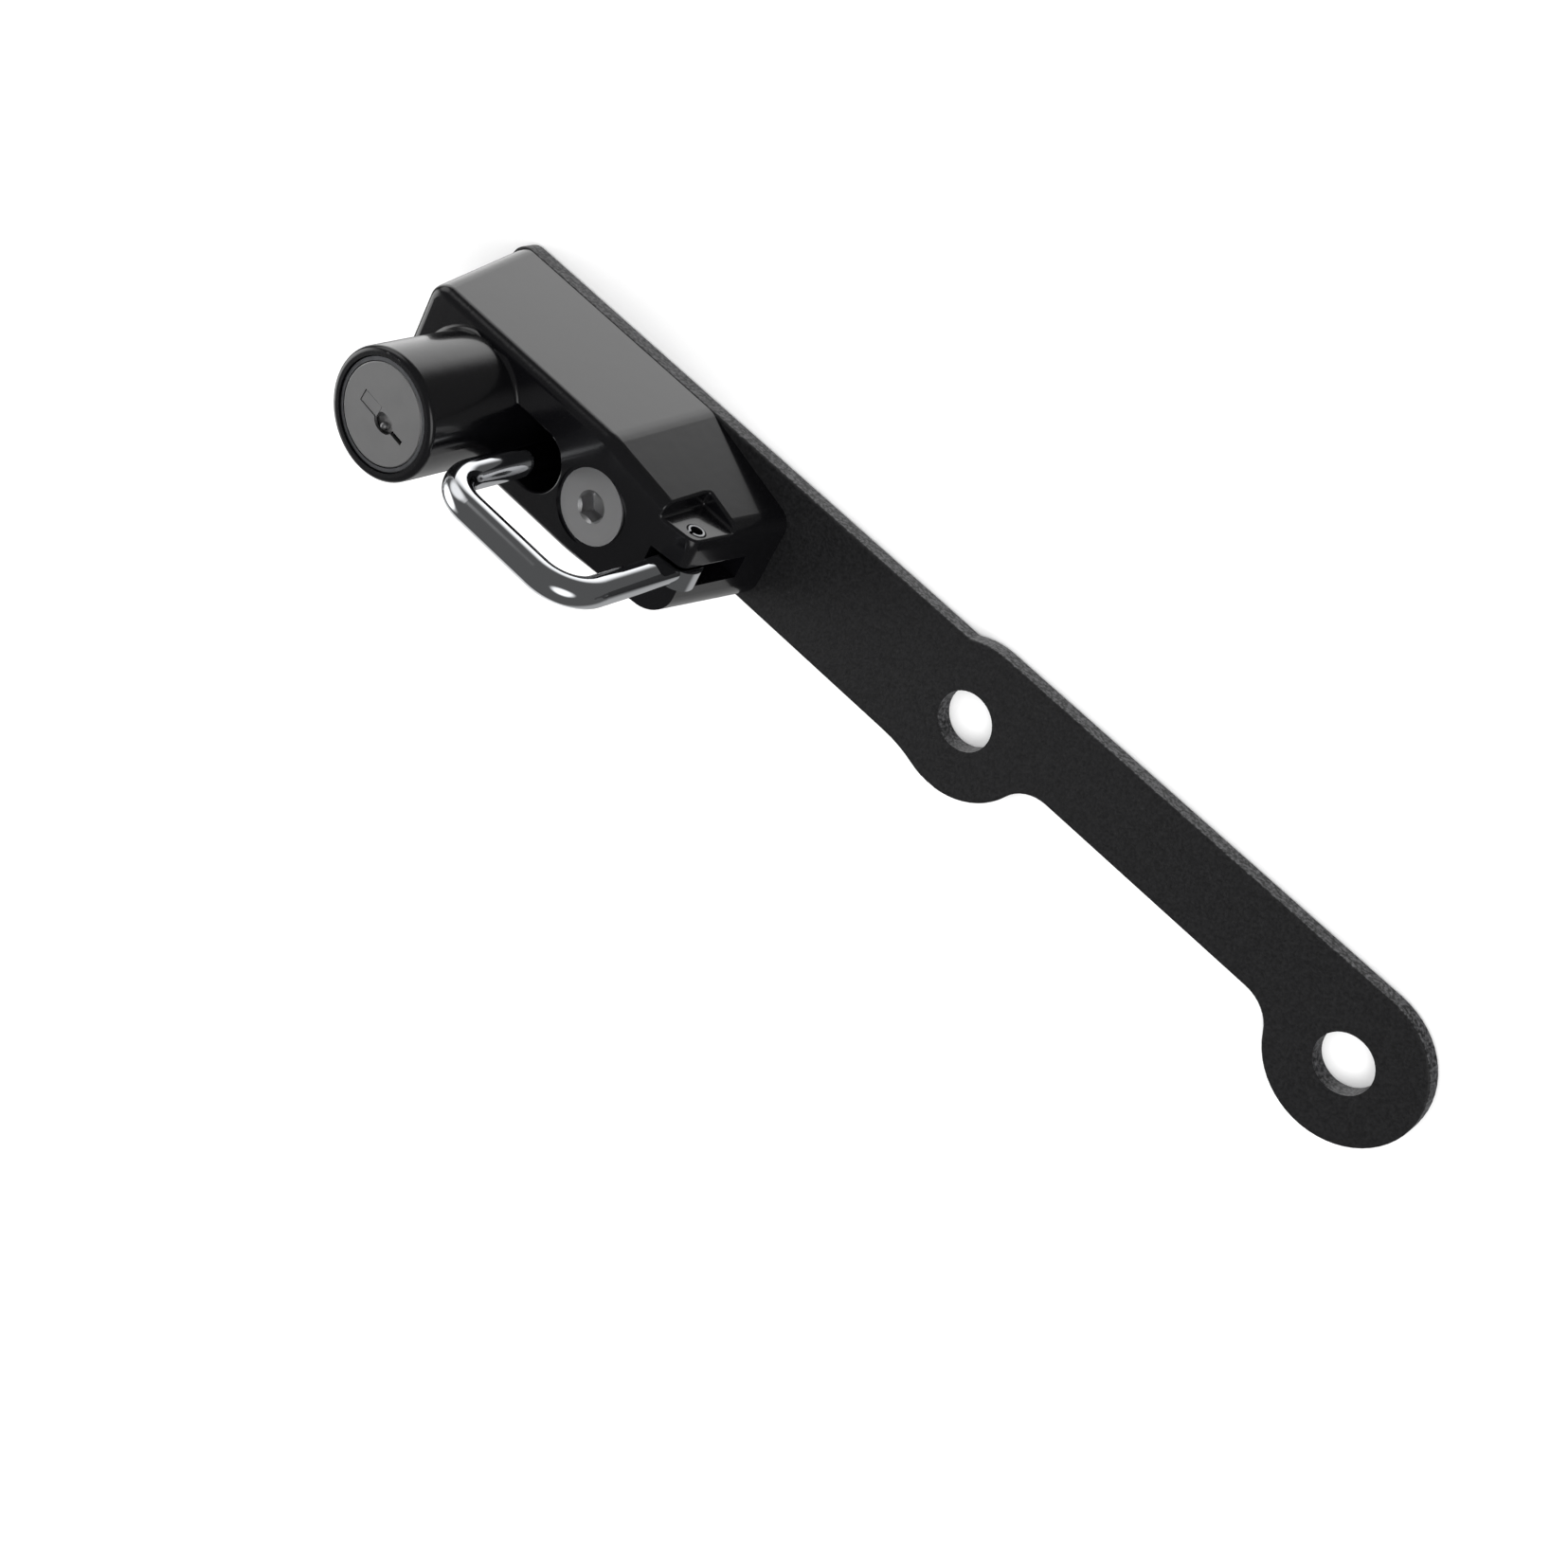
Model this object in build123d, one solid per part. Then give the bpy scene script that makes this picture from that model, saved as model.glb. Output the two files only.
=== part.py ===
from build123d import *
import os
from math import cos, radians, sin, sqrt

# Motorcycle helmet lock on a flat fixing bracket, in millimetres.
# The back face of the bracket is z = 0 and the lock stands on its front face.
# The origin is midway between the two fixing holes; the lock is towards -x.

# ---- fixing bracket ----
plate_thick = 3.0
hole_pitch = 70.0
hole_dia = 9.0              # clearance for M8
lobe_radius = 12.0          # round ear about each fixing hole
arm_width = 13.4            # between the holes, flush with the top of both ears
strip_width = 21.0          # under the lock
strip_reach = 100.5         # from the near fixing hole to the lock end
strip_corner = 3.0
web_fillet = 6.0            # ear into arm
flare_fillet = 20.0         # strip into ear, lower side
nick_fillet = 1.2           # strip into ear, upper side
plate_round = 0.35          # broken edges of the cut blank

# ---- lock housing ----
pin_to_hole = 42.3          # shackle hinge to the near fixing hole
housing_width = 20.9
housing_height = 22.3       # above the bracket
side_draft = 0.5            # each side wall leans in by this much at the front
tail_reach = 57.7           # hinge to the far end of the housing, at the base
tail_lean = 4.4
hinge_reach = 3.9           # hinge to the near end of the housing, at the base
hinge_lean = 2.0
shoulder_reach = 15.7       # hinge to the corner where the side wall turns in
shoulder_slope = 0.2525
nose_start = 14.7           # hinge to the line where the front face starts to fall
nose_slope = 0.15
nose_blend = 30.0
flange_slope = 0.22
pocket_lip = 0.35
tail_corner = 3.0
shoulder_corner = 8.0
hinge_corner = 3.0
flange_corner = 4.5
front_round = 1.6
cast_round = 0.45           # small edges of the spot face and slot

# ---- lock barrel ----
barrel_to_pin = 40.3
barrel_y = -1.4
barrel_dia = 19.3
barrel_height = 39.8        # above the bracket
barrel_round = 0.8
barrel_collar = 0.7
sleeve_dia = 16.5
sleeve_floor = 1.6
sleeve_recess = 0.25        # sleeve and plug face sit this far inside the rim
plug_dia = 11.9
plug_head_dia = 15.0
plug_head = 1.5
cap_thick = 0.5
cap_skirt = 0.3
tail_dia = 8.0
key_tilt = -7.0             # degrees, keyway against the bracket's long side
keyway_span = (-4.3, 4.9)
keyway_width = 0.7
keyway_drop = -0.85         # keyway's centre line off the plug's axis
keyway_mouth = 1.7          # wider half of the keyway
keyway_mouth_end = -0.6
keyway_bulge = (3.7, 2.8)
keyway_bulge_at = 0.8
shutter_sink = 0.08         # shutter pad and dome below the cap's face
shutter_dome = 0.62
wafer_count = 5
wafer_start = 5.5           # first wafer above the plug's base
wafer_pitch = 2.6
wafer_thick = 1.0
wafer_width = 5.0
wafer_travel = 0.7
wafer_spring_dia = 1.2
wafer_spring_wire = 0.2

# ---- latch ----
bolt_level = 6.4            # underside of the bolt above the bracket
bolt_thick = 3.0
bolt_depth = 1.5            # how far the nose stands in the shackle's notch
bolt_nose_width = 5.0
bolt_bar_width = 2.6
bolt_block_length = 8.6
peg_radius = 2.5            # drive peg on the plug's tail, off its axis
peg_dia = 2.8
peg_gap = 0.2
clip_thick = 0.6
clip_room = 3.0
spring_dia = 2.2
spring_wire = 0.4
spring_turns = 7
cover_thick = 1.5
cover_screw_dia = 2.0
cover_screw_length = 6.0

# ---- shackle ----
shackle_y = -1.4
wire_dia = 4.5
leg_spacing = 25.7
shackle_top = 41.5          # crossbar axis above the bracket
shackle_bend = 6.0
pin_level = 17.3            # hinge pin above the bracket
pin_dia = 3.0
pin_bore = 1.9
eye_dia = 6.6
tang_thick = 3.2
shoulder_rise = 2.2         # end of the flat above the front face
tang_runout = 1.5
leg_end = 4.0               # tip of the free leg above the bracket
tip_chamfer = 1.4
slot_floor = 6.5            # bottom of the hinge slot above the bracket
pocket_dia = 9.7
pocket_floor = 3.2
spot_depth = 0.75            # spot face below the corner of the shoulder wall
spot_reach = 4.2            # hinge to the end wall of the spot face
spot_level = 11.2           # lower wall of the spot face above the bracket

# ---- mounting screw (M6 countersunk, hexagon socket) ----
screw_to_pin = 14.1
screw_y = -1.1
screw_dia = 6.0
screw_head = 11.3
screw_land = 0.35
screw_socket = 4.0
screw_socket_depth = 3.0
screw_recess = 0.3
screw_hole = 6.6
screw_ring = 0.55           # width of the shallow ring round the head

# ---- fits ----
run_gap = 0.05              # radial, shaft in bore
slide_gap = 0.1             # each side, flat guides
press_gap = 0.02            # radial, fixed pins
loose_gap = 0.3

# ---- places that follow ----
near_x = -hole_pitch / 2
far_x = hole_pitch / 2
pin_x = near_x - pin_to_hole
leg_x = pin_x - leg_spacing
barrel_x = pin_x - barrel_to_pin
screw_x = pin_x - screw_to_pin
base_z = plate_thick
front_z = base_z + housing_height
rim_z = base_z + barrel_height
pin_z = base_z + pin_level
bolt_z = base_z + bolt_level
bolt_top = bolt_z + bolt_thick
tail_z = bolt_top + loose_gap
cavity_top = tail_z
ledge_z = cavity_top + clip_room
face_z = rim_z - sleeve_recess
plug_base = ledge_z + sleeve_floor + run_gap
head_top = face_z - cap_thick
head_z = head_top - plug_head
barrel_r = barrel_dia / 2
wire_r = wire_dia / 2
tang_shoulder = front_z - pin_z + shoulder_rise
tang_low = shackle_y - wire_r + slide_gap
tang_high = tang_low + tang_thick
slot_low = shackle_y - wire_r - 2 * slide_gap
slot_high = tang_high + 2 * slide_gap
notch_x = leg_x - wire_r + bolt_depth + slide_gap
bolt_travel = 2 * peg_radius * cos(radians(45))
nose_x = notch_x - slide_gap - bolt_travel
cavity_y = (barrel_y - 6.4, barrel_y + 6.0)
cavity_left = barrel_x - 13.6
cavity_right = barrel_x + 7.4
peg_x = barrel_x - bolt_travel / 2
peg_y = barrel_y + bolt_travel / 2
block_x = peg_x - peg_dia / 2 - peg_gap
cover_y = (-8.9, 9.1)
cover_left = cavity_left - 2.4
cover_right = leg_x - 2.5
cover_screws_at = [(barrel_x - 10.4, 7.0), (barrel_x + 7.6, 7.0)]
locating_pegs = [(pin_x - 4.5, 3.5, 5.0), (leg_x + 2.5, 6.8, 4.0)]


def block(x, y, z):
    """A box from three (low, high) pairs."""
    size = [high - low for low, high in (x, y, z)]
    middle = [(high + low) / 2 for low, high in (x, y, z)]
    return Pos(*middle) * Box(*size)


def post(x, y, z, radius):
    """A round bar along z between two levels."""
    return Pos(x, y, z[0]) * Cylinder(radius, z[1] - z[0], align=(Align.CENTER, Align.CENTER, Align.MIN))


def cross_bar(x, z, y, radius):
    """A round bar along y between two stations."""
    bar = Cylinder(radius, y[1] - y[0], align=(Align.CENTER, Align.CENTER, Align.MIN))
    return Pos(x, y[0], z) * Rot(-90, 0, 0) * bar


def coil(radius, wire, length, turns):
    """A compression spring standing on z = 0, from wire centre to wire centre."""
    path = Helix(pitch=length / turns, height=length, radius=radius)
    return sweep(Plane(origin=path @ 0, z_dir=path % 0) * Circle(wire / 2), path=path)


def slab(outline, z):
    """A flat piece from a closed outline, between two levels."""
    return Pos(0, 0, z[0]) * extrude(outline, z[1] - z[0])


def edges_at(part, z, tolerance=0.05):
    """Edges that lie wholly in one level plane."""
    return part.edges().filter_by(lambda e: all(abs(v.Z - z) < tolerance for v in (e @ 0, e @ 0.5, e @ 1)))


# ---- bracket ----
def bracket_outline():
    half = strip_width / 2
    left = near_x - strip_reach
    strip = Pos((left + near_x) / 2, 0) * Rectangle(strip_reach, strip_width)
    arm_low = lobe_radius - arm_width
    arm = Pos(0, (lobe_radius + arm_low) / 2) * Rectangle(hole_pitch, arm_width)
    sheet = strip + arm
    for x in (near_x, far_x):
        sheet += Pos(x, 0) * Circle(lobe_radius)
    meet = sqrt(lobe_radius**2 - arm_low**2)
    webs = [(near_x + meet, arm_low), (far_x - meet, arm_low)]
    step = near_x - sqrt(lobe_radius**2 - half**2)
    spots = [(webs, web_fillet), ([(step, -half)], flare_fillet), ([(step, half)], nick_fillet)]
    spots.append(([(left, half), (left, -half)], strip_corner))
    for places, radius in spots:
        for x, y in places:
            corner = sheet.vertices().sort_by_distance((x, y, 0))[0]
            sheet = fillet(corner, radius)
    return sheet


def bracket_plate():
    plate = slab(bracket_outline(), (0, plate_thick))
    rim = edges_at(plate, 0) + edges_at(plate, plate_thick)
    plate = fillet(rim, plate_round)
    for x in (near_x, far_x):
        plate -= post(x, 0, (-1, plate_thick + 1), hole_dia / 2)
    plate -= post(screw_x, screw_y, (-1, plate_thick + 1), screw_dia / 2)
    for x, y, dia in locating_pegs:
        plate -= post(x, y, (-1, plate_thick + 1), dia / 2 + slide_gap)
    return plate


# ---- housing ----
def housing_outline(rise):
    """Plan of the housing at a share of its height, 0 at the base and 1 at the front."""
    half = housing_width / 2 - side_draft * rise
    left = pin_x - tail_reach + tail_lean * rise
    right = pin_x + hinge_reach - hinge_lean * rise
    shoulder = pin_x - shoulder_reach
    turned = half - shoulder_slope * (right - shoulder)
    points = [(left, half), (left, -half), (right, -half), (right, turned), (shoulder, half)]
    return make_face(Polyline(*points, close=True))


def housing_shell():
    top = Pos(0, 0, front_z) * housing_outline(1)
    shell = loft([Pos(0, 0, base_z) * housing_outline(0), top], ruled=True)
    half = housing_width / 2
    left = pin_x - tail_reach
    right = pin_x + hinge_reach
    turned = half - shoulder_slope * (hinge_reach + shoulder_reach)
    corners = [(left, half, tail_corner), (left, -half, tail_corner), (right, -half, flange_corner)]
    corners += [(right, turned, hinge_corner), (pin_x - shoulder_reach, half, shoulder_corner)]
    for x, y, radius in corners:
        upright = [e for e in shell.edges() if abs((e @ 0).Z - (e @ 1).Z) > housing_height / 2]
        edge = ShapeList(upright).sort_by_distance((x, y, base_z))[0]
        shell = fillet(edge, radius)
    start = pin_x - nose_start
    end = pin_x + 2 * hinge_reach
    drop = nose_slope * (end - start)
    profile = [(start, front_z), (end, front_z - drop), (end, front_z + 1), (start, front_z + 1)]
    wedge = extrude(make_face(Polyline(*profile, close=True)), housing_width + 2)
    shell -= Pos(0, half + 1, 0) * Rot(90, 0, 0) * wedge
    ridge = shell.edges().filter_by(Axis.Y).sort_by_distance((start, 0, front_z))[0]
    shell = fillet(ridge, nose_blend)
    crown = [e for e in shell.edges() if min((e @ t).Z for t in (0, 0.5, 1)) > front_z - drop - 0.5]
    crown = [e for e in crown if abs((e @ 0.5).Y) > 2 and abs((e % 0.5).Y) < 0.999 or (e @ 0.5).X > right - 4
             or (e @ 0.5).X < left + 6]
    return fillet(crown, front_round)


def pocket_outline():
    """Plan of the recess that the shackle's free leg drops into."""
    radius = pocket_dia / 2
    reach = leg_x - barrel_x
    way = Pos((leg_x + barrel_x) / 2, shackle_y) * Rectangle(reach, 2 * radius)
    return way + Pos(leg_x, shackle_y) * Circle(radius)


def screw_seat(grow):
    """Countersunk hole for the mounting screw, larger than the screw all round by grow."""
    top = front_z - screw_recess
    head = screw_head / 2 + grow
    shank = screw_dia / 2 + grow
    low = top - screw_land - (head - shank)
    profile = [(0, top), (head, top), (head, top - screw_land), (shank, low), (0, low)]
    cone = revolve(Plane.XZ * make_face(Polyline(*profile, close=True)), Axis.Z)
    return Pos(screw_x, screw_y, 0) * cone


def spot_face_cut():
    """Step in the shoulder wall that gives the hinge pin a flat to enter."""
    level = spot_face_y()
    left = pin_x - spot_reach
    right = pin_x + 2 * hinge_reach
    return block((left, right), (level, housing_width), (base_z + spot_level, front_z + 1))


def in_spot_corner(point):
    """True on the three inner edges of the spot face step."""
    walls = (point.X - (pin_x - spot_reach), point.Y - spot_face_y(), point.Z - base_z - spot_level)
    return sum(abs(distance) < 0.01 for distance in walls) == 2


def on_slot_rim(point):
    """True on the outer edges of the slot wall next to the spot face."""
    outside = point.X > pin_x - eye_dia / 2 and point.Z > base_z + slot_floor + 0.5
    return outside and abs(point.Y - slot_high) < 0.02


def on_spot_rim(point, shell):
    """True on the outer edges of the spot face step, where it breaks the housing's skin."""
    step = (point.X - (pin_x - spot_reach), point.Y - spot_face_y(), point.Z - base_z - spot_level)
    if min(step) < -0.01:
        return False
    return min(face.distance_to(Vertex(*point)) for face in shell.faces()) < 0.01


def spot_face_y():
    turned = housing_width / 2 - shoulder_slope * (hinge_reach + shoulder_reach)
    return turned - spot_depth


def lock_body():
    shell = housing_shell()
    body = shell
    # recess for the free leg, with the barrel standing in its far end
    body -= slab(pocket_outline(), (base_z + pocket_floor, front_z + 1))
    lip = [e for e in edges_at(body, front_z) if abs((e @ 0.5).Y - shackle_y) < pocket_dia / 2 + 0.1]
    body = fillet([e for e in lip if barrel_x - 0.1 < (e @ 0.5).X < leg_x + pocket_dia], pocket_lip)
    barrel = post(barrel_x, barrel_y, (base_z, rim_z), barrel_r)
    body += fillet(edges_at(barrel, rim_z), barrel_round)
    body += barrel_root()
    # hinge end
    start = pin_x - nose_start
    end = pin_x + 2 * hinge_reach
    fall = flange_slope * (end - start)
    profile = [(start, front_z), (end, front_z - fall), (end, front_z + 1), (start, front_z + 1)]
    flange = extrude(make_face(Polyline(*profile, close=True)), housing_width)
    body -= Pos(0, slot_low, 0) * Rot(90, 0, 0) * flange
    slot_left = pin_x - eye_dia / 2 - loose_gap
    body -= block((slot_left, pin_x + 2 * hinge_reach), (slot_low, slot_high), (base_z + slot_floor, front_z + 1))
    body -= spot_face_cut()
    body = fillet([e for e in body.edges() if in_spot_corner(e @ 0.5)], cast_round)
    body = fillet([e for e in body.edges() if on_slot_rim(e @ 0.5)], cast_round)
    body = fillet([e for e in body.edges() if on_spot_rim(e @ 0.5, shell)], cast_round)
    body -= cross_bar(pin_x, pin_z, (pin_end_y(), housing_width), pin_dia / 2 + press_gap)
    # mounting screw
    body -= post(screw_x, screw_y, (base_z - 1, front_z), screw_hole / 2)
    body -= screw_seat(press_gap)
    body -= post(screw_x, screw_y, (front_z - screw_recess, front_z + 1), screw_head / 2 + screw_ring)
    # lock cylinder
    body -= post(barrel_x, barrel_y, (ledge_z, rim_z + 1), sleeve_dia / 2 + press_gap)
    body -= post(barrel_x, barrel_y, (cavity_top - 1, ledge_z + 1), tail_dia / 2 + 2.4)
    # works, open at the back
    body -= block((cavity_left, cavity_right), cavity_y, (base_z - 1, cavity_top))
    body -= block((cavity_right - 1, nose_x + 2 * slide_gap), nose_span(slide_gap), (base_z, bolt_z))
    body -= block((cavity_right - 1, leg_x), nose_span(slide_gap), (bolt_z - slide_gap, bolt_top + slide_gap))
    body -= block((cover_left, cover_right), cover_y, (base_z - 1, base_z + cover_thick))
    for x, y in cover_screws_at:
        body -= post(x, y, (base_z - 1, base_z + cover_screw_length), cover_screw_dia / 2 + press_gap)
    body -= sleeve_pin_bar(press_gap)
    for x, y, dia in locating_pegs:
        body += post(x, y, (0.4, base_z + 0.5), dia / 2)
    return body


def barrel_root():
    """Small hollow collar where the barrel meets the front face."""
    outer = barrel_r + barrel_collar
    curve = ThreePointArc((outer, 0), (barrel_r + barrel_collar * (1 - cos(radians(45))),
                          barrel_collar * (1 - sin(radians(45)))), (barrel_r, barrel_collar))
    face = make_face([curve, Line((barrel_r, barrel_collar), (barrel_r - 0.4, barrel_collar)),
                      Line((barrel_r - 0.4, barrel_collar), (barrel_r - 0.4, -0.3)),
                      Line((barrel_r - 0.4, -0.3), (outer, -0.3)), Line((outer, -0.3), (outer, 0))])
    ring = Pos(barrel_x, barrel_y, front_z) * revolve(Plane.XZ * face, Axis.Z)
    half = housing_width / 2 - side_draft - front_round - 0.2
    ring &= block((barrel_x - barrel_dia, barrel_x + barrel_dia), (-half, half), (base_z, rim_z))
    gap = pocket_dia / 2 + pocket_lip
    return ring - block((barrel_x, leg_x), (shackle_y - gap, shackle_y + gap), (base_z, rim_z))


def nose_span(gap):
    return (shackle_y - bolt_nose_width / 2 - gap, shackle_y + bolt_nose_width / 2 + gap)


def pin_end_y():
    return slot_low - 2.6


def sleeve_pin_bar(gap):
    inner = barrel_y - plug_dia / 2 - 0.9
    outer = slide_gap + side_draft - housing_width / 2 - 20 * gap
    return cross_bar(barrel_x, ledge_z + 3.2, (outer, inner + gap), 1.0 + gap)


def rear_cover():
    cover = block((cover_left + slide_gap, cover_right - slide_gap), (cover_y[0] + slide_gap, cover_y[1] - slide_gap),
                  (base_z, base_z + cover_thick))
    cover = fillet(cover.edges().filter_by(Axis.Z), 1.0)
    low, high = nose_span(-slide_gap)
    cover += block((barrel_x - 8, nose_x), (low, high), (base_z + cover_thick - 0.5, bolt_z - slide_gap))
    for x, y in cover_screws_at:
        cover -= post(x, y, (base_z - 1, base_z + cover_thick + 1), cover_screw_dia / 2 + slide_gap)
        cover -= countersink(x, y, press_gap)
    return cover


def countersink(x, y, gap):
    head = cover_screw_dia * 0.95 + gap
    profile = [(0, 0), (head, 0), (head - cover_screw_dia * 0.45, cover_screw_dia * 0.45), (0, cover_screw_dia * 0.45)]
    cone = revolve(Plane.XZ * make_face(Polyline(*profile, close=True)), Axis.Z)
    return Pos(x, y, base_z) * cone


def cover_screws():
    screws = []
    for x, y in cover_screws_at:
        screw = countersink(x, y, 0) + post(x, y, (base_z, base_z + cover_screw_length - 0.5), cover_screw_dia / 2)
        screw -= block((x - 1.3, x + 1.3), (y - 0.25, y + 0.25), (base_z - 1, base_z + 0.5))
        screw -= block((x - 0.25, x + 0.25), (y - 1.3, y + 1.3), (base_z - 1, base_z + 0.5))
        screws.append(screw)
    return screws


def mounting_screw():
    screw = screw_seat(0)
    screw += post(screw_x, screw_y, (0, front_z - screw_recess - screw_land), screw_dia / 2 - press_gap)
    top = front_z - screw_recess
    socket = Pos(screw_x, screw_y, top - screw_socket_depth) * extrude(
        RegularPolygon(screw_socket / 2, 6, major_radius=False), screw_socket_depth + 1)
    screw -= socket
    screw -= Pos(screw_x, screw_y, top - screw_socket_depth - 0.8) * Cone(
        0.2, screw_socket / 2, 0.8, align=(Align.CENTER, Align.CENTER, Align.MIN))
    screw -= Pos(screw_x, screw_y, top - 0.45) * Cone(
        screw_socket / 2, screw_socket / 2 + 0.6, 0.6, align=(Align.CENTER, Align.CENTER, Align.MIN))
    return screw


# ---- shackle ----
def shackle():
    high = base_z + shackle_top
    low = base_z + leg_end
    path = FilletPolyline((pin_x, pin_z), (pin_x, high), (leg_x, high), (leg_x, low), radius=shackle_bend)
    path = Pos(0, shackle_y, 0) * Rot(90, 0, 0) * path
    wire = sweep(Plane(origin=path @ 0, z_dir=path % 0) * Circle(wire_r), path=path)
    foot = wire.edges().filter_by(GeomType.CIRCLE).sort_by_distance((leg_x, shackle_y, low))[0]
    wire = chamfer(foot, tip_chamfer)
    wire -= Pos(pin_x, 0, pin_z) * tang_flat()
    wire += cross_bar(pin_x, pin_z, (tang_low, tang_high), eye_dia / 2)
    wire -= cross_bar(pin_x, pin_z, (tang_low - 1, tang_high + 1), pin_dia / 2 + run_gap)
    wire -= block((leg_x - wire_dia, notch_x), (shackle_y - wire_dia, shackle_y + wire_dia),
                  (bolt_z - 2 * slide_gap, bolt_top + 3 * slide_gap))
    return wire


def tang_flat():
    """What is milled off one side of the wire near the hinge, with a round run-out at the shoulder."""
    outer = tang_high + wire_dia
    low = (tang_high, tang_shoulder - tang_runout)
    bend = tang_runout * (1 - sin(radians(45)))
    middle = (tang_high + bend, tang_shoulder - bend)
    high = (tang_high + tang_runout, tang_shoulder)
    edges = Polyline(high, (outer, tang_shoulder), (outer, -eye_dia), (tang_high, -eye_dia), low)
    face = make_face(ThreePointArc(low, middle, high) + edges)
    return extrude(Plane.YZ.offset(-eye_dia) * face, 2 * eye_dia)


def hinge_pin():
    low = pin_end_y()
    high = spot_face_y() + 0.1
    pin = cross_bar(pin_x, pin_z, (low, high), pin_dia / 2)
    pin = chamfer(pin.edges().filter_by(GeomType.CIRCLE), 0.25)
    pin -= cross_bar(pin_x, pin_z, (low - 1, high + 1), pin_bore / 2)
    return pin - block((pin_x - 0.25, pin_x + 0.25), (low - 1, high + 1), (pin_z, pin_z + pin_dia))


# ---- lock cylinder ----
def on_barrel(piece):
    """Turn a piece made about the z axis to the keyway's tilt and put it on the barrel's axis."""
    return Pos(barrel_x, barrel_y, 0) * Rot(0, 0, key_tilt) * piece


def wafer_levels():
    first = plug_base + wafer_start
    return [first + wafer_pitch * i for i in range(wafer_count)]


def cylinder_sleeve():
    bore = plug_dia / 2 + run_gap
    sleeve = post(0, 0, (ledge_z, face_z), sleeve_dia / 2)
    sleeve = fillet(edges_at(sleeve, face_z), 0.25)
    sleeve -= post(0, 0, (ledge_z + sleeve_floor, face_z + 1), bore)
    sleeve -= post(0, 0, (head_z - run_gap, face_z + 1), plug_head_dia / 2 + run_gap)
    sleeve -= post(0, 0, (ledge_z - 1, face_z), tail_dia / 2 + run_gap)
    deep = bore + wafer_travel + loose_gap
    half = wafer_width / 2 + slide_gap
    levels = wafer_levels()
    grooves = (levels[0] - wafer_thick, levels[-1] + 2 * wafer_thick)
    sleeve -= block((-deep, deep), (-half, half), grooves)
    sleeve -= block((-half, half), (-deep, deep), grooves)
    return on_barrel(sleeve) - sleeve_pin_bar(press_gap)


def sleeve_pin():
    return sleeve_pin_bar(0)


def keyway_outline():
    start, end = keyway_span
    length, width = keyway_bulge
    slot = Pos((start + end) / 2, 0) * Rectangle(end - start, keyway_width)
    slot += Pos(keyway_bulge_at, 0) * Ellipse(length / 2, width / 2)
    mouth = Rectangle(keyway_mouth_end - start, keyway_mouth)
    slot += Pos((start + keyway_mouth_end) / 2, keyway_mouth / 2) * mouth
    return Pos(0, keyway_drop) * slot


def key_plug():
    plug = post(0, 0, (plug_base, head_z + 1), plug_dia / 2)
    plug += post(0, 0, (head_z, head_top - run_gap), plug_head_dia / 2 - cap_skirt - run_gap)
    plug += post(0, 0, (head_z, head_z + 0.5), plug_head_dia / 2)
    plug -= slab(keyway_outline(), (plug_base + 1.5, face_z))
    plug -= shutter_space()
    half = wafer_width / 2 + run_gap
    for level in wafer_levels():
        plug -= block((-plug_dia, plug_dia), (-half, half), (level - run_gap, level + wafer_thick + run_gap))
        plug -= wafer_spring_space(level)
    plug = on_barrel(plug)
    tail = post(barrel_x, barrel_y, (tail_z, plug_base + 0.5), tail_dia / 2)
    tail -= clip_ring(plug_clip_z() - run_gap, clip_thick + 2 * run_gap, 0)
    tail += post(peg_x, peg_y, (bolt_z + 0.6, tail_z + 0.2), peg_dia / 2)
    return plug + tail


def shutter_space():
    start, end = keyway_span
    side = keyway_drop + keyway_mouth + 0.4
    return block((start - 0.7, keyway_bulge_at + 1.6), (-side - 1.6, side), (head_top - 0.7, head_top + 1))


def wafer_spring_space(level):
    low = wafer_width / 2
    middle = level + wafer_thick / 2
    half = wafer_spring_dia / 2 + slide_gap
    return block((-2.4, 2.2), (low, low + 2 * half), (middle - half, middle + half))


def plug_clip_z():
    return ledge_z - slide_gap - clip_thick


def clip_ring(z, thick, gap):
    """The ring of metal that a clip takes up round the plug's tail."""
    outer = tail_dia
    ring = post(barrel_x, barrel_y, (z, z + thick), outer)
    return ring - post(barrel_x, barrel_y, (z - 1, z + thick + 1), tail_dia / 2 - 0.9 + gap)


def tail_clip(z, outer):
    """A C-shaped clip sprung into a groove of the tail."""
    ring = post(barrel_x, barrel_y, (z, z + clip_thick), outer / 2)
    ring -= post(barrel_x, barrel_y, (z - 1, z + clip_thick + 1), tail_dia / 2 - 0.9 + press_gap)
    return ring - block((barrel_x - 2.4, barrel_x + 2.4), (barrel_y, barrel_y + outer), (z - 1, z + clip_thick + 1))


def plug_cap():
    cap = post(0, 0, (head_z + 0.5 + run_gap, face_z), plug_head_dia / 2 - press_gap)
    cap = fillet(edges_at(cap, face_z), 0.2)
    cap -= post(0, 0, (head_z, head_top), plug_head_dia / 2 - cap_skirt)
    cap -= slab(keyway_outline(), (head_top - 1, face_z + 1))
    return on_barrel(cap)


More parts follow.
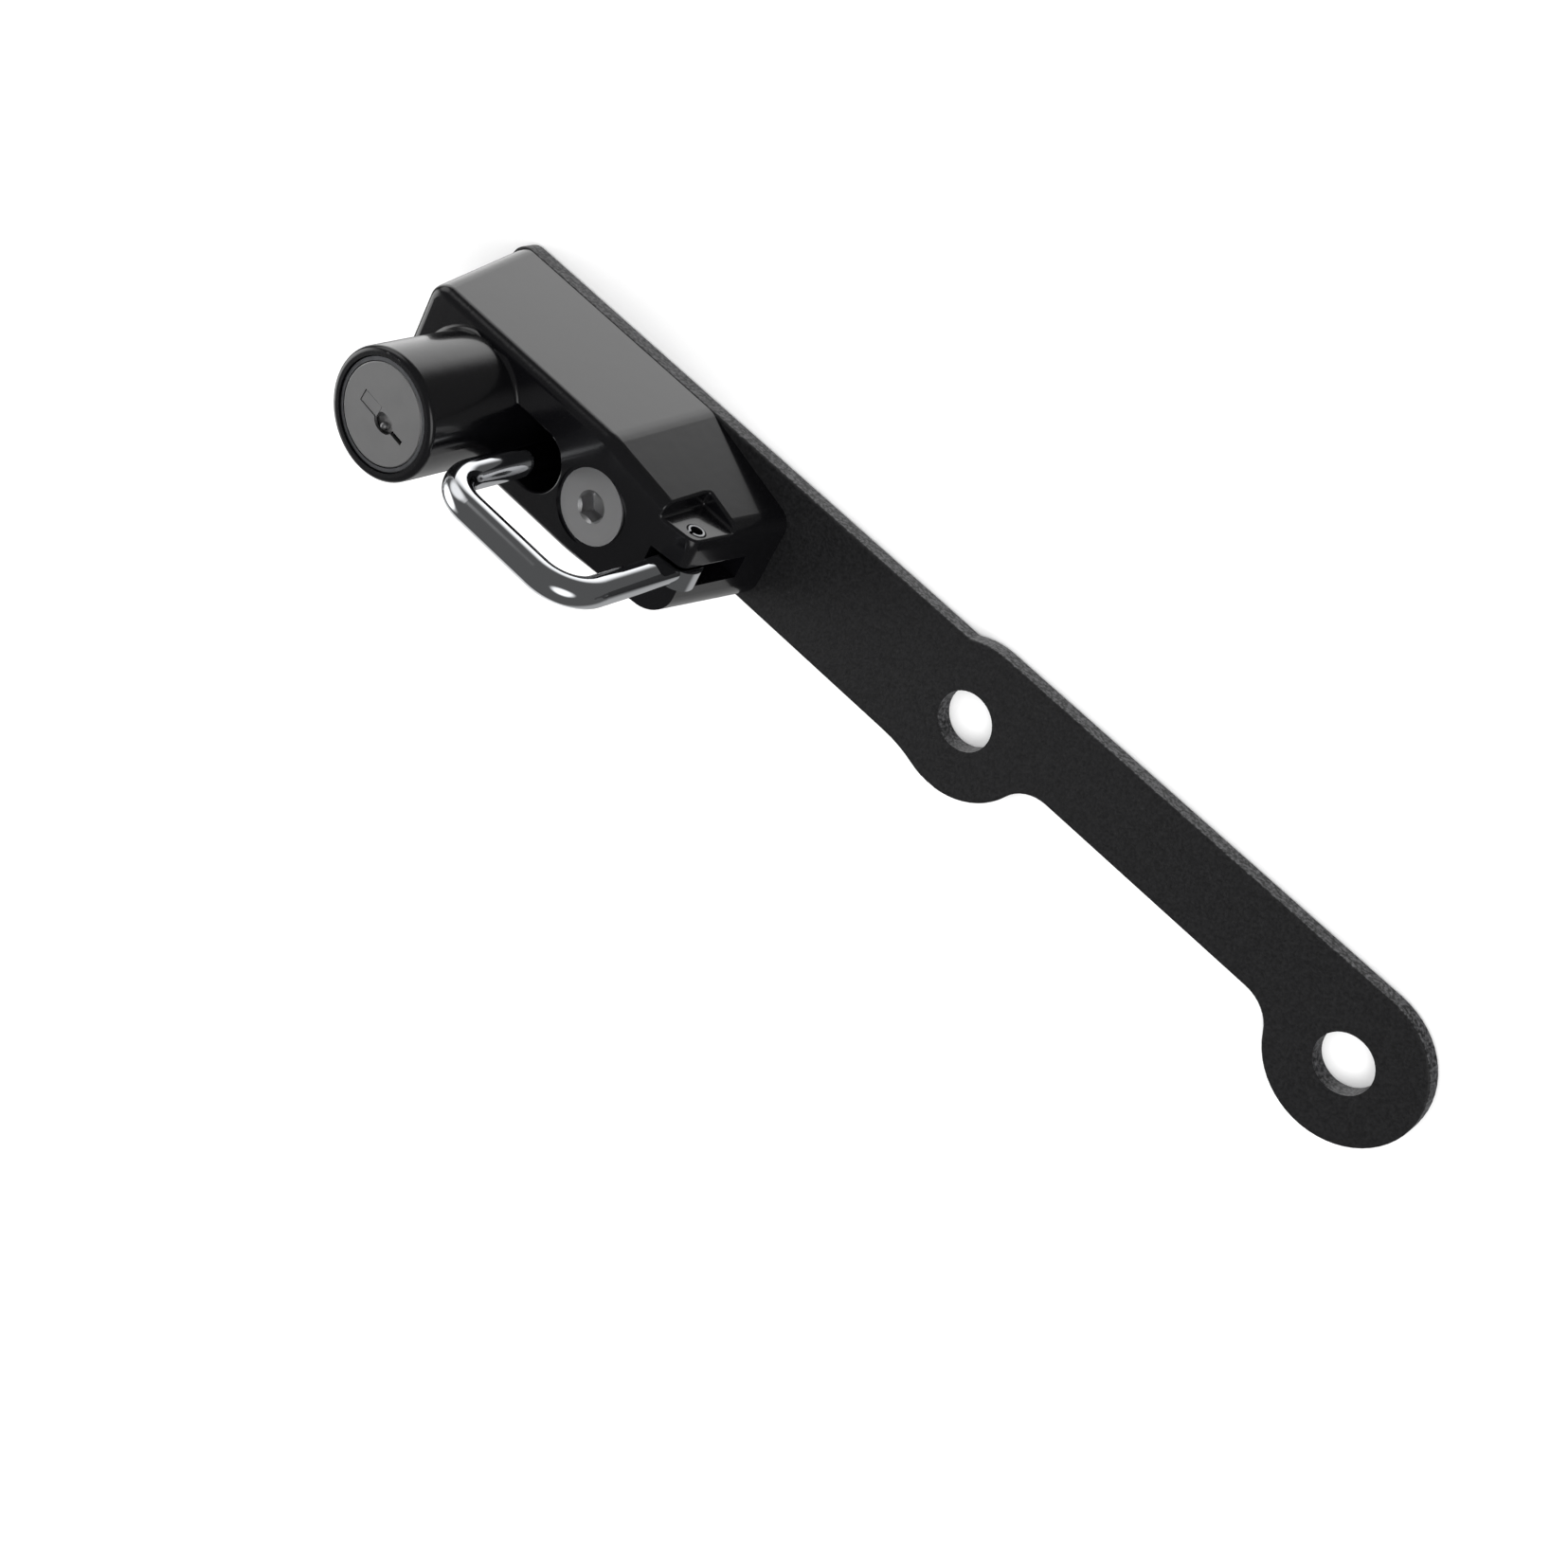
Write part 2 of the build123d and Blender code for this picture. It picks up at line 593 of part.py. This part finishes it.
def keyway_shutter():
    """Leaf under the cap, with a pad that fills the keyway's mouth and a dome that the key rides over."""
    low = head_top - 0.6
    high = face_z - shutter_sink
    start, end = keyway_span
    side = keyway_drop + keyway_mouth + 0.4
    leaf = block((start - 0.5, keyway_bulge_at + 1.4), (-side - 1.4, side - 0.2), (low, low + 0.3))
    pad_y = (keyway_drop - keyway_width / 2 + slide_gap, keyway_drop + keyway_mouth - slide_gap)
    leaf += block((start + slide_gap, keyway_mouth_end - slide_gap), pad_y, (low, high))
    dome_y = keyway_drop - keyway_bulge[1] / 2 + shutter_dome + slide_gap
    leaf += Pos(keyway_bulge_at, dome_y, high - shutter_dome) * Sphere(shutter_dome)
    return on_barrel(leaf)


def wafer(level, cut):
    """One plate tumbler; cut shifts its window along the keyway."""
    body = post(0, 0, (level, level + wafer_thick), plug_dia / 2)
    half = wafer_width / 2
    body &= block((-plug_dia, plug_dia), (-half, half), (level, level + wafer_thick))
    body += block((0.2, 1.2), (half - 0.2, half + wafer_spring_dia), (level, level + wafer_thick))
    middle = keyway_drop / 2
    body -= block((-4.0 + cut, 3.6 + cut), (middle - 1.5, middle + 1.5), (level - 1, level + wafer_thick + 1))
    return on_barrel(body)


def wafer_spring(level):
    length = 2.4 + 0.2 - wafer_spring_wire
    spring = coil(wafer_spring_dia / 2 - wafer_spring_wire / 2, wafer_spring_wire, length, 5)
    y = wafer_width / 2 + slide_gap + wafer_spring_dia / 2
    spring = Pos(-2.4 + wafer_spring_wire / 2, y, level + wafer_thick / 2) * Rot(0, 90, 0) * spring
    return on_barrel(spring)


# ---- latch ----
def latch_bolt():
    level = (bolt_z, bolt_top)
    low, high = nose_span(0)
    bolt = block((block_x - bolt_block_length, block_x), (cavity_y[0] + slide_gap, cavity_y[1] - slide_gap), level)
    bar_low = shackle_y - bolt_nose_width / 2
    bolt += block((block_x - 1, nose_x), (bar_low, bar_low + bolt_bar_width), level)
    bolt += block((cavity_right + 1.6, nose_x), (low, high), level)
    bevel = make_face(Polyline((nose_x - 1.2, bolt_top), (nose_x, bolt_top - 1.4), (nose_x, bolt_top), close=True))
    bolt -= Pos(0, high, 0) * Rot(90, 0, 0) * extrude(bevel, bolt_nose_width)
    bore = Pos(block_x - bolt_block_length, spring_y(), spring_z()) * Rot(0, 90, 0) * Cylinder(
        spring_dia / 2 + slide_gap + 0.05, 2 * spring_bore())
    return bolt - bore


def spring_y():
    return (cavity_y[0] + cavity_y[1]) / 2


def spring_z():
    return (bolt_z + bolt_top) / 2


def spring_bore():
    return 4.0


def latch_spring():
    start = cavity_left + spring_wire / 2
    end = block_x - bolt_block_length + spring_bore() - spring_wire / 2
    spring = coil((spring_dia - spring_wire) / 2, spring_wire, end - start, spring_turns)
    return Pos(start, spring_y(), spring_z()) * Rot(0, 90, 0) * spring


def make_parts():
    nodes = {
        "bracket_plate": bracket_plate(),
        "lock_body": lock_body(),
        "rear_cover": rear_cover(),
        "cover_screws": cover_screws(),
        "mounting_screw": mounting_screw(),
        "hinge_pin": hinge_pin(),
        "shackle": shackle(),
        "cylinder_sleeve": cylinder_sleeve(),
        "sleeve_pin": sleeve_pin(),
        "key_plug": key_plug(),
        "plug_cap": plug_cap(),
        "keyway_shutter": keyway_shutter(),
        "plug_clip": tail_clip(plug_clip_z(), tail_dia + 2.4),
        "latch_bolt": latch_bolt(),
        "latch_spring": latch_spring(),
    }
    cuts = (0.3, -0.4, 0.0, 0.5, -0.2)
    for number, level in enumerate(wafer_levels(), start=1):
        nodes[f"wafer_{number}"] = wafer(level, cuts[(number - 1) % len(cuts)])
        nodes[f"wafer_spring_{number}"] = wafer_spring(level)
    return nodes


os.makedirs("parts", exist_ok=True)
for name, shape in make_parts().items():
    solids = shape if isinstance(shape, list) else [shape]
    whole = Compound(children=[s for part in solids for s in part.solids()])
    whole.label = name
    export_step(whole, f"parts/{name}.step")
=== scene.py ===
# %% [markdown]
# # A helmet lock on its bracket
# A small key lock with a chromed wire shackle, screwed to a flat steel bracket. All the hard shapes come
# from the CAD model as a fixed frame. What is left for Blender is how each surface looks: paint, powder
# coat, chrome, nickel and bare steel, and the light that shows them.

from math import cos, radians

import bpy
from mathutils import Euler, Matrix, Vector


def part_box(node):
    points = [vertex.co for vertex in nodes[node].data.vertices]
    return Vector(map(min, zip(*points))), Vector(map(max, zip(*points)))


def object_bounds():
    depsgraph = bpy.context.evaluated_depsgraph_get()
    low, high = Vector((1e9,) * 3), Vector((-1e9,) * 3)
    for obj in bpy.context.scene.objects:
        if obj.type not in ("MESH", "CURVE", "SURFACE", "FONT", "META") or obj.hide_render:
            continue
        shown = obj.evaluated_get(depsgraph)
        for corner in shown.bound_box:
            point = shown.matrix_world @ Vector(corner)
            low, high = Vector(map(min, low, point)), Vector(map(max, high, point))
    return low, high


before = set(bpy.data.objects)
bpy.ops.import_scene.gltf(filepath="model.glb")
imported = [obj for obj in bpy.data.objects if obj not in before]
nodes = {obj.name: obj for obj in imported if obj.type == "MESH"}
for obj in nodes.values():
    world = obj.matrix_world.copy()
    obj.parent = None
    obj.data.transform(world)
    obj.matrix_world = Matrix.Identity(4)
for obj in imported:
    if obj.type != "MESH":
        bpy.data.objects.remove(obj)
cad_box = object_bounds()
print("nodes", sorted(nodes))
print("cad box in metres", cad_box)


# %% [markdown]
# ## Units and colours
# Blender works in metres and every size on a lock is in millimetres, so one small function converts.
# Colours are picked as sRGB hex values, the way a paint chart gives them. Shaders want linear values,
# so a second function converts those.

# %% Millimetres and hex colours
def mm(value):
    return value / 1000


def paint_chip(code):
    channels = [int(code[i:i + 2], 16) / 255 for i in (1, 3, 5)]
    linear = [c / 12.92 if c <= 0.04045 else ((c + 0.055) / 1.055) ** 2.4 for c in channels]
    return (*linear, 1.0)


print("lamp black in linear", paint_chip("#141414"))


# %% [markdown]
# ## One way to wire a shader
# A material is a small graph of nodes, and so is the world around the scene. Both could be drawn by hand
# in the shader editor. In a script, one helper adds one node, sets its options and plain values, and
# links whatever comes as a socket, so each finish below reads as a list. Some nodes give two sockets
# the same name, so in_0, in_1 and in_2 pick a socket by its number instead.

# %% Add one node
def add(owner, kind, options=None, **sockets):
    node = owner.node_tree.nodes.new(kind)
    for name, value in (options or {}).items():
        setattr(node, name, value)
    for name, value in sockets.items():
        slot = int(name[3:]) if name.startswith("in_") else name.replace("_", " ")
        if isinstance(value, bpy.types.NodeSocket):
            owner.node_tree.links.new(value, node.inputs[slot])
        else:
            node.inputs[slot].default_value = value
    return node


# %% Start a finish and put it on the pieces that wear it
def blank(name):
    material = bpy.data.materials.new(name)
    material.use_nodes = True
    material.node_tree.nodes.clear()
    return material


def wear(names, material):
    for name in names:
        slots = nodes[name].data.materials
        slots.clear()
        slots.append(material)
    print(material.name, "on", names)


# %% [markdown]
# ## Fine-texture black powder coat
# The bracket is laser-cut mild steel with polyester powder baked on. Powder melts into a skin of tiny
# lumps, which scatter the light and make black look charcoal grey. Real lumps are a tenth or two of a
# millimetre wide and would need millions of faces, so a noise gives them as a bump, drawn at about half
# a millimetre so that they show. A slower noise lets the roughness drift as on a real batch. The upright
# walls, found by their normals, are painted a paler grey: a painted sheen that stands in for the light
# the cut edges reflect.
# Polyester has an IOR of 1.5, and a textured coat is about half rough.

# %% Powder lumps, with a painted sheen on the cut edges
grain = mm(0.45)
grain_height = mm(0.1)
# Painted sheen: how much paler the upright cut edges are painted, for the light they reflect.
painted_edge_sheen = 0.34
coat = blank("black_powder_coat")
spot = add(coat, "ShaderNodeTexCoord")
place = spot.outputs["Object"]
lumps = add(coat, "ShaderNodeTexNoise", Vector=place, Scale=1 / grain, Detail=3.0, Roughness=0.6)
facing = add(coat, "ShaderNodeSeparateXYZ", Vector=spot.outputs["Normal"])
flat = add(coat, "ShaderNodeMath", {"operation": "ABSOLUTE"}, Value=facing.outputs["Z"])
# Painted sheen mask: the more upright a wall stands, the paler it is painted.
painted_edge_sheen_mask = add(coat, "ShaderNodeMapRange", Value=flat.outputs["Value"], From_Min=0.2, From_Max=0.9,
               To_Min=painted_edge_sheen, To_Max=0.0)
lumps_and_painted_sheen = add(coat, "ShaderNodeMath", {"operation": "ADD"}, in_0=lumps.outputs["Fac"],
            in_1=painted_edge_sheen_mask.outputs["Result"])
print("powder lumps every", round(1000 * grain, 2), "mm")

# %% Powder coat for the bracket
batch_drift = mm(18)
lump_and_sheen_tone = add(coat, "ShaderNodeValToRGB", Fac=lumps_and_painted_sheen.outputs["Value"])
lump_and_sheen_tone.color_ramp.elements[0].position = 0.35
lump_and_sheen_tone.color_ramp.elements[0].color = paint_chip("#0b0b0c")
lump_and_sheen_tone.color_ramp.elements[1].position = 0.75
lump_and_sheen_tone.color_ramp.elements[1].color = paint_chip("#1a1a1b")
# The pale grey stop is reached mostly where the painted edge sheen is added to the lumps.
lump_and_sheen_tone.color_ramp.elements.new(1.0).color = paint_chip("#5a5a5c")
drift = add(coat, "ShaderNodeTexNoise", Vector=place, Scale=1 / batch_drift, Detail=2.0)
sheen = add(coat, "ShaderNodeMapRange", Value=drift.outputs["Fac"], To_Min=0.46, To_Max=0.58)
relief = add(coat, "ShaderNodeBump", Height=lumps.outputs["Fac"], Strength=0.8, Distance=grain_height)
powder = add(coat, "ShaderNodeBsdfPrincipled", Base_Color=lump_and_sheen_tone.outputs["Color"],
             Roughness=sheen.outputs["Result"], IOR=1.5, Normal=relief.outputs["Normal"])
add(coat, "ShaderNodeOutputMaterial", Surface=powder.outputs["BSDF"])
wear(["bracket_plate"], coat)

# %% [markdown]
# ## Gloss black enamel over die-cast zinc
# The housing is cast zinc, dipped in a thick gloss enamel. The paint levels itself, so it reflects like
# a dark mirror, but it keeps a slow waviness called orange peel, a couple of millimetres from crest to
# crest. One rough layer would look like plastic and one sharp layer like glass, so a clear coat gives the
# sharp reflection and the base below it stays a little softer. Enamel has an IOR of 1.5 as well, and a
# roughness of about 0.2 where hands have been on it.

# %% Enamel for the housing
orange_peel = mm(2.4)
dust_nib = mm(0.5)
hand_smear = mm(9)
peel_height = mm(0.06)
dust_height = mm(0.02)
enamel = blank("gloss_black_enamel")
place = add(enamel, "ShaderNodeTexCoord").outputs["Object"]
peel = add(enamel, "ShaderNodeTexNoise", Vector=place, Scale=1 / orange_peel, Detail=1.0)
dust = add(enamel, "ShaderNodeTexNoise", Vector=place, Scale=1 / dust_nib, Detail=2.0)
smear = add(enamel, "ShaderNodeTexNoise", Vector=place, Scale=1 / hand_smear, Detail=3.0)
gloss = add(enamel, "ShaderNodeMapRange", Value=smear.outputs["Fac"], To_Min=0.17, To_Max=0.26)
wave = add(enamel, "ShaderNodeBump", Height=peel.outputs["Fac"], Strength=0.3, Distance=peel_height)
fine = add(enamel, "ShaderNodeBump", Height=dust.outputs["Fac"], Strength=0.12, Distance=dust_height,
           Normal=wave.outputs["Normal"])
paint = add(enamel, "ShaderNodeBsdfPrincipled", Base_Color=paint_chip("#08080a"),
            Roughness=gloss.outputs["Result"], IOR=1.5, Coat_Weight=0.6, Coat_Roughness=0.08,
            Normal=fine.outputs["Normal"])
add(enamel, "ShaderNodeOutputMaterial", Surface=paint.outputs["BSDF"])
wear(["lock_body"], enamel)

# %% [markdown]
# ## Chrome on the shackle
# Hard steel wire, polished and chrome plated. It is nearly a perfect mirror, so its look is the look of
# the room. A plain mirror would do, but a trace of long-wave bump keeps the reflections from being ruler
# straight, as they are on a wire that was bent before it was plated.

# %% Chrome for the shackle
wire_ripple = mm(5)
polish_haze = mm(1.2)
ripple_height = mm(0.08)
chrome = blank("bright_chrome_plate")
place = add(chrome, "ShaderNodeTexCoord").outputs["Object"]
bend = add(chrome, "ShaderNodeTexNoise", Vector=place, Scale=1 / wire_ripple, Detail=1.0)
haze = add(chrome, "ShaderNodeTexNoise", Vector=place, Scale=1 / polish_haze, Detail=3.0)
polish = add(chrome, "ShaderNodeMapRange", Value=haze.outputs["Fac"], To_Min=0.03, To_Max=0.11)
ripple = add(chrome, "ShaderNodeBump", Height=bend.outputs["Fac"], Strength=0.15, Distance=ripple_height)
plating = add(chrome, "ShaderNodeBsdfPrincipled", Base_Color=paint_chip("#e3e5e8"), Metallic=1.0,
              Roughness=polish.outputs["Result"], Normal=ripple.outputs["Normal"])
add(chrome, "ShaderNodeOutputMaterial", Surface=plating.outputs["BSDF"])
wear(["shackle"], chrome)

# %% [markdown]
# ## Satin nickel on the plug's cap
# The cap is pressed from thin sheet and nickel plated over a blasted surface. It has no grain direction,
# only a soft mottle, so the metal looks like frosted silver. A fine noise gives the blasted pits, drawn
# a quarter of a millimetre wide so that they show, and a slow one moves the tone and the roughness
# together, as wear does.

# %% Satin nickel for the cap
blast_pit = mm(0.25)
wear_cloud = mm(3)
pit_depth = mm(0.02)
nickel = blank("satin_nickel_plate")
place = add(nickel, "ShaderNodeTexCoord").outputs["Object"]
frost = add(nickel, "ShaderNodeTexNoise", Vector=place, Scale=1 / blast_pit, Detail=3.0)
cloud = add(nickel, "ShaderNodeTexNoise", Vector=place, Scale=1 / wear_cloud, Detail=3.0)
tone = add(nickel, "ShaderNodeValToRGB", Fac=cloud.outputs["Fac"])
tone.color_ramp.elements[0].color = paint_chip("#a2a2a3")
tone.color_ramp.elements[1].color = paint_chip("#b4b4b4")
satin = add(nickel, "ShaderNodeMapRange", Value=cloud.outputs["Fac"], To_Min=0.44, To_Max=0.54)
pits = add(nickel, "ShaderNodeBump", Height=frost.outputs["Fac"], Strength=0.35, Distance=pit_depth)
frosted = add(nickel, "ShaderNodeBsdfPrincipled", Base_Color=tone.outputs["Color"], Metallic=1.0,
              Roughness=satin.outputs["Result"], Normal=pits.outputs["Normal"])
add(nickel, "ShaderNodeOutputMaterial", Surface=frosted.outputs["BSDF"])
wear(["plug_cap", "keyway_shutter"], nickel)

# %% [markdown]
# ## Turned steel for the mounting screw
# A screw head is turned on a lathe before it is plated, so it carries fine rings about its own axis.
# They could be cut as real grooves, but at a few microns deep a bump is enough. A wave texture in rings
# gives them, centred on the screw by moving the coordinates to its middle. The tool's real step, about a
# tenth of a millimetre, is too fine to show, so the rings are drawn 0.7 mm apart.

# %% Plated steel for the mounting screw
low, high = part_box("mounting_screw")
screw_axis = [(a + b) / 2 for a, b in zip(low, high)]
wave_repeat = 0.314  # the length after which a wave texture repeats at scale 1
ring_pitch = mm(0.691)
ring_depth = mm(0.02)
zinc_film = mm(1.5)
turned = blank("turned_zinc_plated_steel")
place = add(turned, "ShaderNodeTexCoord").outputs["Object"]
centred = add(turned, "ShaderNodeVectorMath", {"operation": "SUBTRACT"}, in_0=place,
              in_1=(screw_axis[0], screw_axis[1], 0))
rings = add(turned, "ShaderNodeTexWave", {"wave_type": "RINGS", "rings_direction": "Z"},
            Vector=centred.outputs["Vector"], Scale=wave_repeat / ring_pitch, Distortion=0.4, Detail=2.0)
film = add(turned, "ShaderNodeTexNoise", Vector=place, Scale=1 / zinc_film, Detail=3.0)
lustre = add(turned, "ShaderNodeMapRange", Value=film.outputs["Fac"], To_Min=0.36, To_Max=0.48)
cut = add(turned, "ShaderNodeBump", Height=rings.outputs["Fac"], Strength=0.12, Distance=ring_depth)
head = add(turned, "ShaderNodeBsdfPrincipled", Base_Color=paint_chip("#cdcdce"), Metallic=1.0,
           Roughness=lustre.outputs["Result"], Normal=cut.outputs["Normal"])
add(turned, "ShaderNodeOutputMaterial", Surface=head.outputs["BSDF"])
wear(["mounting_screw"], turned)
print("screw axis at", [round(1000 * a, 1) for a in screw_axis], "mm")

# %% [markdown]
# ## The works
# Wafers are stamped brass, and the springs, clip and pins are drawn or rolled spring steel. The cover,
# its screws and the bolt are zinc plated, and the sleeve and the plug are bare zinc castings. They are
# mostly hidden, but each shows when the lock is opened or turned over. They differ only in colour,
# roughness and the size of their mottle, so one function makes all four.

# %% Brass, spring steel, plating and bare casting
rough_spread = 0.08
skin_height = mm(0.02)


def hidden_metal(name, dark, light, rough, patch):
    metal = blank(name)
    place = add(metal, "ShaderNodeTexCoord").outputs["Object"]
    mottle = add(metal, "ShaderNodeTexNoise", Vector=place, Scale=1 / mm(patch), Detail=4.0)
    tint = add(metal, "ShaderNodeValToRGB", Fac=mottle.outputs["Fac"])
    tint.color_ramp.elements[0].color = paint_chip(dark)
    tint.color_ramp.elements[1].color = paint_chip(light)
    matt = add(metal, "ShaderNodeMapRange", Value=mottle.outputs["Fac"],
               To_Min=rough - rough_spread, To_Max=rough + rough_spread)
    skin = add(metal, "ShaderNodeBump", Height=mottle.outputs["Fac"], Strength=0.15,
               Distance=skin_height)
    surface = add(metal, "ShaderNodeBsdfPrincipled", Base_Color=tint.outputs["Color"], Metallic=1.0,
                  Roughness=matt.outputs["Result"], Normal=skin.outputs["Normal"])
    add(metal, "ShaderNodeOutputMaterial", Surface=surface.outputs["BSDF"])
    return metal


wafers = [name for name in nodes if name.startswith("wafer_") and "spring" not in name]
springs = [name for name in nodes if "spring" in name]
brass = hidden_metal("stamped_brass", "#a8863f", "#cfae62", rough=0.34, patch=0.8)
spring_steel = hidden_metal("rolled_spring_steel", "#77787a", "#b5b6b8", rough=0.30, patch=0.6)
zinc_plate = hidden_metal("zinc_plated_steel", "#9c9fa2", "#c6c8ca", rough=0.34, patch=2.5)
casting = hidden_metal("bare_zinc_casting", "#5c5d60", "#8b8c8f", rough=0.45, patch=1.2)
wear(wafers, brass)
wear(springs + ["hinge_pin", "sleeve_pin", "plug_clip"], spring_steel)
wear(["rear_cover", "cover_screws", "latch_bolt"], zinc_plate)
wear(["cylinder_sleeve", "key_plug"], casting)

# %% [markdown]
# ## Floor
# The bracket lies flat on its back on a wide white board. The board is hidden from mirror-like rays
# only: the camera and the soft light see it, but the gloss paint and the chrome look past it, at the
# painted room below. A plain floor would turn the black walls white with its reflection.

# %% Pale floor
paper_cloud = mm(40)
paper = blank("white_paper_sweep")
place = add(paper, "ShaderNodeTexCoord").outputs["Object"]
fibre = add(paper, "ShaderNodeTexNoise", Vector=place, Scale=1 / paper_cloud, Detail=2.0)
board = add(paper, "ShaderNodeValToRGB", Fac=fibre.outputs["Fac"])
board.color_ramp.elements[0].color = paint_chip("#f2f2f2")
board.color_ramp.elements[1].color = paint_chip("#f6f6f6")
matt_paper = add(paper, "ShaderNodeBsdfPrincipled", Base_Color=board.outputs["Color"], Roughness=0.9,
                 Specular_IOR_Level=0.2)
add(paper, "ShaderNodeOutputMaterial", Surface=matt_paper.outputs["BSDF"])
board_side = 6
board_gap = mm(0.2)
bpy.ops.mesh.primitive_plane_add(size=board_side, location=(0, 0, cad_box[0][2] - board_gap))
floor = bpy.context.object
floor.name = "floor"
floor.data.materials.append(paper)
floor.visible_glossy = False
print("floor lies at", round(1000 * floor.location.z, 2), "mm")

# %% [markdown]
# ## Room
# Gloss black shows nothing but its surroundings, so the room is drawn for it. A studio would hang soft
# boxes around the part. Here the world is a dim grey with soft round lamps painted on it, each given by
# the direction it shines from, by how wide its bright core and its faded rim are in degrees, and by its
# strength. A lamp below the floor lights nothing: it is there only to be mirrored in the upright walls.
# Looked at straight, the world is plain white, so that it meets the floor without a line.

# %% Painted room
def painted_lamp(world, toward, lamp, beneath):
    direction, core, rim, strength = lamp
    facing = add(world, "ShaderNodeVectorMath", {"operation": "DOT_PRODUCT"}, in_0=toward,
                 in_1=Vector(direction).normalized())
    edge = add(world, "ShaderNodeMapRange", {"interpolation_type": "SMOOTHERSTEP"},
               Value=facing.outputs["Value"], From_Min=cos(radians(rim)), From_Max=cos(radians(core)),
               To_Max=strength)
    glow = add(world, "ShaderNodeMath", {"operation": "ADD"}, in_0=edge.outputs["Result"], in_1=beneath)
    return glow.outputs["Value"]


room = bpy.data.worlds.new("painted_room")
room.use_nodes = True
room.node_tree.nodes.clear()
toward = add(room, "ShaderNodeTexCoord").outputs["Generated"]
below_side = ((-0.62, 0.30, -0.72), 14, 47, 1.6)
below_near = ((-0.34, -0.85, -0.32), 8, 30, 0.9)
below_far = ((0.25, -0.72, -0.64), 12, 38, 0.4)
over_end = ((-0.80, 0.52, 0.30), 8, 30, 1.2)
behind_lock = ((-0.86, -0.40, 0.34), 10, 30, 2.3)
camera_side = ((0.72, 0.12, 0.68), 6, 28, 1.7)
lamps = [below_side, below_near, below_far, over_end, behind_lock, camera_side]
dim_grey = 0.12
level = dim_grey
for lamp in lamps:
    level = painted_lamp(room, toward, lamp, level)
print("lamps painted on the room", len(lamps))

# %% White when looked at straight
painted = add(room, "ShaderNodeBackground", Strength=level)
plain = add(room, "ShaderNodeBackground", Color=paint_chip("#ffffff"))
straight = add(room, "ShaderNodeLightPath").outputs["Is Camera Ray"]
seen = add(room, "ShaderNodeMixShader", Fac=straight, in_1=painted.outputs["Background"],
           in_2=plain.outputs["Background"])
add(room, "ShaderNodeOutputWorld", Surface=seen.outputs["Shader"])
bpy.context.scene.world = room
print("room has", len(room.node_tree.nodes), "nodes")

# %% [markdown]
# ## Light for the floor
# A very soft sun from overhead keeps the board evenly white out to the horizon, and two wide panels on
# the camera's side put some direction into the light. All three are kept out of reflections, because a
# lamp with a hard edge would show as a white patch on the chrome. The painted room does that work.

# %% Sun and panels
def shine(name, kind, place, target, power):
    data = bpy.data.lights.new(name, kind)
    data.energy = power
    light = bpy.data.objects.new(name, data)
    light.location = place
    aim = Vector(target) - Vector(place)
    light.rotation_euler = aim.to_track_quat("-Z", "Y").to_euler()
    light.visible_glossy = False
    bpy.context.collection.objects.link(light)
    print("light", name, kind, power)
    return data


middle = [(a + b) / 2 for a, b in zip(*cad_box)]
sun = shine("overcast_sun", "SUN", (-0.25, 0.1, 1.0), middle, power=2.6)
sun.angle = radians(100)
near = shine("near_panel", "AREA", (0.85, 0.45, 0.9), middle, power=9)
far = shine("far_panel", "AREA", (0.9, -0.5, 0.8), middle, power=6)
near.size = far.size = 1.0
bpy.context.scene.view_settings.view_transform = "Standard"

# %% [markdown]
# ## Camera
# A slightly long lens stands above the far ear and looks back down at the lock, rolled so that the
# bracket runs from the upper left to the lower right. A longer lens would make the bracket look flatter
# and a shorter one would stretch the near ear.

# %% Camera
lens = bpy.data.cameras.new("lock_camera")
lens.lens = 59.55
lens.sensor_width = 36
lens.clip_start = 0.01
camera = bpy.data.objects.new("lock_camera", lens)
camera.location = (0.0658, 0.1892, 0.2979)
camera.rotation_euler = Euler((radians(-19.0), radians(36.13), radians(31.05)))
bpy.context.collection.objects.link(camera)
bpy.context.scene.camera = camera
print("camera stands", round((camera.location - Vector(middle)).length, 3), "m from the middle")
